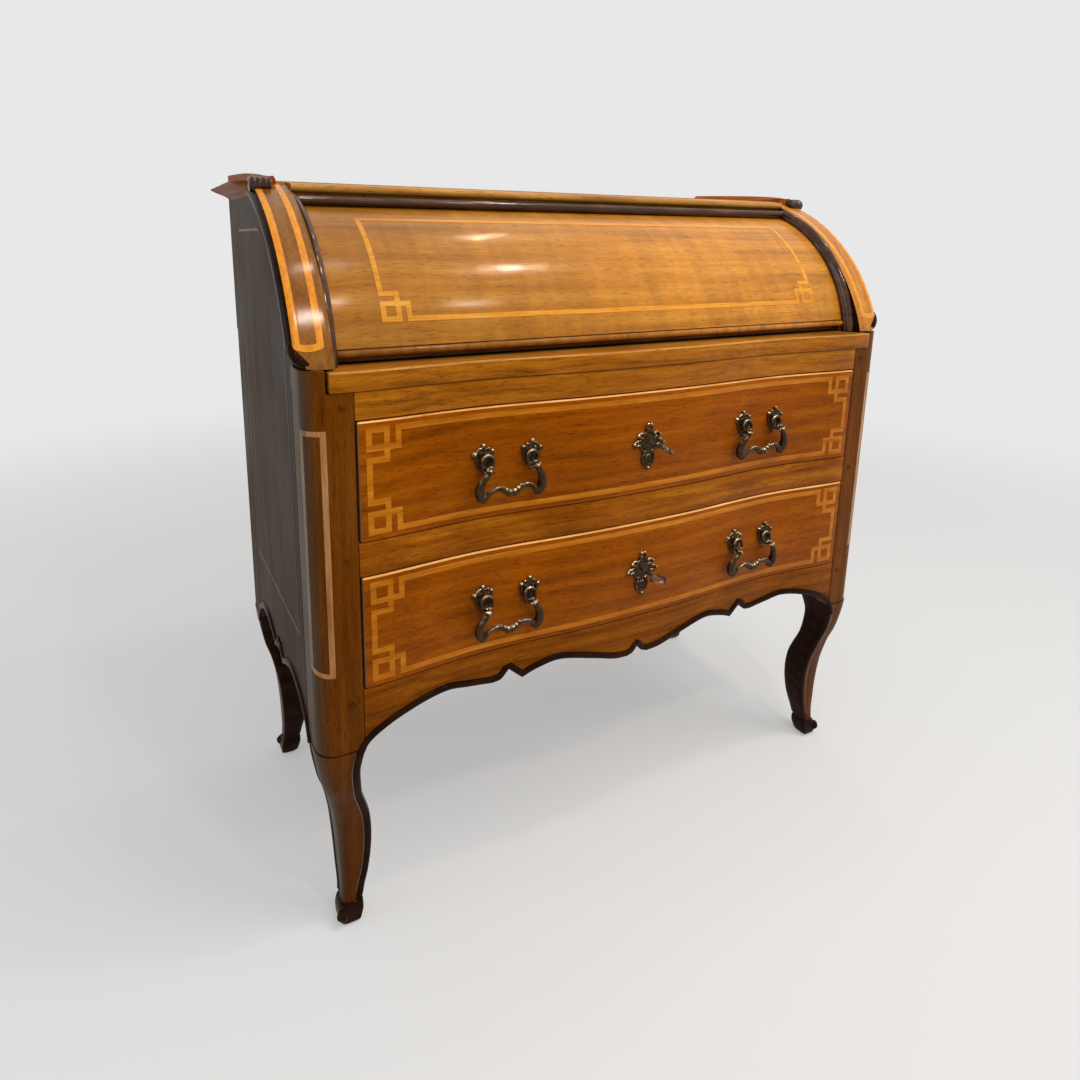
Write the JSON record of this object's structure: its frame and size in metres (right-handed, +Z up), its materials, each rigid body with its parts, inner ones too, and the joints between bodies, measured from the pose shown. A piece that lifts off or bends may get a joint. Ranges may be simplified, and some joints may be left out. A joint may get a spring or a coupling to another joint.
{
  "type": "cylinder desk",
  "caption": "Cylinder desk on cabriole legs: curved lid that rolls back into the case, pull-out writing slide, pigeonholes, and long drawers with bail handles, locks and keys",
  "frame": {"origin": "middle of the bounding box, on the floor", "axes": "+Z up, the front with drawers and keys faces -Y, +X to the right of someone facing the desk"},
  "size_m": [1.082, 0.5473, 1.073],
  "materials": {
    "walnut": "french polished",
    "walnut_drawers": "french polished, with light stringing",
    "dark_moulding": "blackened and polished",
    "oak_inside": "waxed",
    "bronze": "aged",
    "iron": "worn bright at the edges",
    "leather": "waxed"
  },
  "bodies": {
    "case": {"leg_front_right": "walnut", "leg_front_left": "walnut", "leg_rear_right": "walnut", "leg_rear_left": "walnut", "joint_pegs": "walnut", "front_apron": "walnut", "side_apron_right": "walnut", "side_apron_left": "walnut", "apron_beads": "dark_moulding", "top_rail": "walnut", "drawer_divider": "walnut", "rear_rail": "oak_inside", "side_panel_right": "walnut", "side_panel_left": "walnut", "inner_side_right": "oak_inside", "inner_side_left": "oak_inside", "cheek_right": "walnut", "cheek_left": "walnut", "opening_beads": "dark_moulding", "top_board": "walnut", "side_cornice_right": "walnut", "side_cornice_left": "walnut", "back_boards": "oak_inside", "slide_deck": "oak_inside", "drawer_runners": "oak_inside", "dust_board": "oak_inside", "gradin_shelves": "oak_inside", "gradin_uprights": "oak_inside", "gradin_back": "oak_inside"},
    "cylinder": {"cylinder_shell": "walnut", "cylinder_bottom_rail": "dark_moulding", "cylinder_ribs": "oak_inside"},
    "slide": {"slide_front_edge": "walnut", "slide_panel": "walnut", "writing_leather": "leather", "slide_cleats": "walnut"},
    "upper_drawer": {"upper_drawer_front": "walnut_drawers", "upper_drawer_box": "oak_inside", "upper_drawer_bottom": "oak_inside", "upper_lock_case": "iron", "upper_escutcheon": "bronze", "upper_handle_posts": "bronze"},
    "upper_left_bail": {"bail_upper_left": "bronze"},
    "upper_right_bail": {"bail_upper_right": "bronze"},
    "upper_key": {"upper_key": "bronze"},
    "upper_bolt": {"upper_lock_bolt": "iron"},
    "lower_drawer": {"lower_drawer_front": "walnut_drawers", "lower_drawer_box": "oak_inside", "lower_drawer_bottom": "oak_inside", "lower_lock_case": "iron", "lower_escutcheon": "bronze", "lower_handle_posts": "bronze"},
    "lower_left_bail": {"bail_lower_left": "bronze"},
    "lower_right_bail": {"bail_lower_right": "bronze"},
    "lower_key": {"lower_key": "bronze"},
    "lower_bolt": {"lower_lock_bolt": "iron"},
    "small_drawer_right": {"small_drawer_right_tray": "oak_inside", "small_drawer_right_front": "walnut"},
    "small_drawer_left": {"small_drawer_left_tray": "oak_inside", "small_drawer_left_front": "walnut"}
  },
  "joints": [
    {"name": "cylinder_roll", "type": "hinge", "parent": "case", "child": "cylinder", "pos_m": [0, 0.0636, 0.785], "axis": [-1, 0, 0], "range_deg": [0, 57]},
    {"name": "slide_pull", "type": "slide", "parent": "case", "child": "slide", "axis": [0, -1, 0], "range_m": [0, 0.26]},
    {"name": "upper_drawer_pull", "type": "slide", "parent": "case", "child": "upper_drawer", "axis": [0, -1, 0], "range_m": [0, 0.3]},
    {"name": "upper_left_bail_swing", "type": "hinge", "parent": "upper_drawer", "child": "upper_left_bail", "pos_m": [-0.236, -0.2284, 0.682], "axis": [-1, 0, 0], "range_deg": [0, 85]},
    {"name": "upper_right_bail_swing", "type": "hinge", "parent": "upper_drawer", "child": "upper_right_bail", "pos_m": [0.236, -0.2284, 0.682], "axis": [-1, 0, 0], "range_deg": [0, 85]},
    {"name": "upper_key_turn", "type": "hinge", "parent": "upper_drawer", "child": "upper_key", "pos_m": [0, -0.2164, 0.674], "axis": [0, 1, 0], "range_deg": [0, 180]},
    {"name": "upper_bolt_throw", "type": "slide", "parent": "upper_drawer", "child": "upper_bolt", "axis": [0, 0, 1], "range_m": [0, 0.009]},
    {"name": "lower_drawer_pull", "type": "slide", "parent": "case", "child": "lower_drawer", "axis": [0, -1, 0], "range_m": [0, 0.3]},
    {"name": "lower_left_bail_swing", "type": "hinge", "parent": "lower_drawer", "child": "lower_left_bail", "pos_m": [-0.236, -0.2284, 0.476], "axis": [-1, 0, 0], "range_deg": [0, 85]},
    {"name": "lower_right_bail_swing", "type": "hinge", "parent": "lower_drawer", "child": "lower_right_bail", "pos_m": [0.236, -0.2284, 0.476], "axis": [-1, 0, 0], "range_deg": [0, 85]},
    {"name": "lower_key_turn", "type": "hinge", "parent": "lower_drawer", "child": "lower_key", "pos_m": [0, -0.2164, 0.468], "axis": [0, 1, 0], "range_deg": [0, 180]},
    {"name": "lower_bolt_throw", "type": "slide", "parent": "lower_drawer", "child": "lower_bolt", "axis": [0, 0, 1], "range_m": [0, 0.009]},
    {"name": "small_drawer_right_pull", "type": "slide", "parent": "case", "child": "small_drawer_right", "axis": [0, -1, 0], "range_m": [0, 0.085]},
    {"name": "small_drawer_left_pull", "type": "slide", "parent": "case", "child": "small_drawer_left", "axis": [0, -1, 0], "range_m": [0, 0.085]}
  ],
  "couplings": [
    {"joint": "upper_key_turn", "follows": "upper_bolt_throw", "rad_per_m": 349.03},
    {"joint": "lower_key_turn", "follows": "lower_bolt_throw", "rad_per_m": 349.03}
  ]
}
